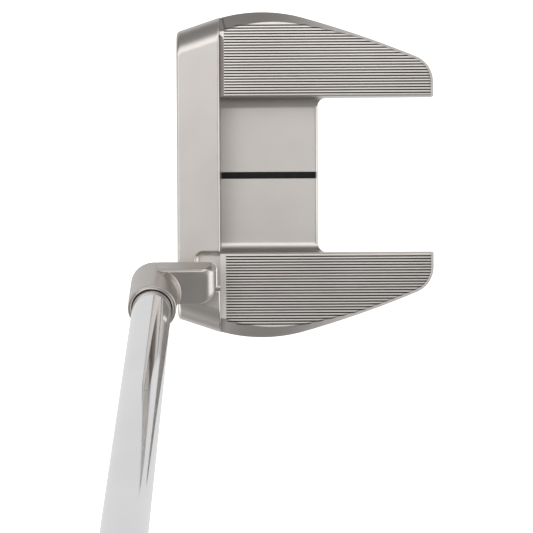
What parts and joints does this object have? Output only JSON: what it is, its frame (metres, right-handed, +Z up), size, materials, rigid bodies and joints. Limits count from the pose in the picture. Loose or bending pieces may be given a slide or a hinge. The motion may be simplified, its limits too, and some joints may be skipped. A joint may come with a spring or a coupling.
{
  "type": "mallet putter",
  "caption": "Wing-back mallet putter with a cranked neck, grooved wings, a sight line, a removable heel and toe weight, a straight chromed shaft and a flat-fronted rubber grip.",
  "frame": {"origin": "on the ground plane, on the face of the sole plate under the sight line", "axes": "+X toward the heel and the player, +Y from the face to the wing tips (away from the target), +Z up, club at address"},
  "size_m": [0.3709, 0.0935, 0.8148],
  "materials": {
    "head_steel": "bead blasted, satin",
    "sight_paint": "gloss paint",
    "neck_steel": "bead blasted, satin",
    "bolt_steel": "black oxide",
    "bond_epoxy": "cured adhesive",
    "shaft_chrome": "polished",
    "plate_aluminium": "bead blasted, anodised",
    "screw_steel": "black oxide",
    "weight_steel": "turned",
    "seal_rubber": "matte",
    "tape_paper": "matte",
    "grip_rubber": "matte",
    "cap_rubber": "matte"
  },
  "bodies": {
    "club": {"head_body": "head_steel", "sight_line": "sight_paint", "neck": "neck_steel", "neck_bolt": "bolt_steel", "shaft_bond": "bond_epoxy", "shaft": "shaft_chrome", "sole_plate": "plate_aluminium", "sole_screw_1": "screw_steel", "sole_screw_2": "screw_steel", "sole_screw_3": "screw_steel", "sole_screw_4": "screw_steel", "grip_tape": "tape_paper", "grip": "grip_rubber", "grip_cap": "cap_rubber"},
    "heel_seal": {"heel_o_ring": "seal_rubber"},
    "heel_plug": {"heel_weight": "weight_steel"},
    "toe_seal": {"toe_o_ring": "seal_rubber"},
    "toe_plug": {"toe_weight": "weight_steel"}
  },
  "joints": [
    {"name": "heel_seal_slide", "type": "slide", "parent": "club", "child": "heel_seal", "axis": [0, 0, -1], "range_m": [0, 0.0051]},
    {"name": "heel_weight_turn", "type": "hinge", "parent": "heel_seal", "child": "heel_plug", "pos_m": [0.035, -0.001, 0], "axis": [0, 0, -1], "range_deg": [0, 1440]},
    {"name": "toe_seal_slide", "type": "slide", "parent": "club", "child": "toe_seal", "axis": [0, 0, -1], "range_m": [0, 0.0051]},
    {"name": "toe_weight_turn", "type": "hinge", "parent": "toe_seal", "child": "toe_plug", "pos_m": [-0.035, -0.001, 0], "axis": [0, 0, -1], "range_deg": [0, 1440]}
  ],
  "couplings": [
    {"joint": "heel_seal_slide", "follows": "heel_weight_turn", "m_per_rad": 0.00019894},
    {"joint": "toe_seal_slide", "follows": "toe_weight_turn", "m_per_rad": 0.00019894}
  ]
}
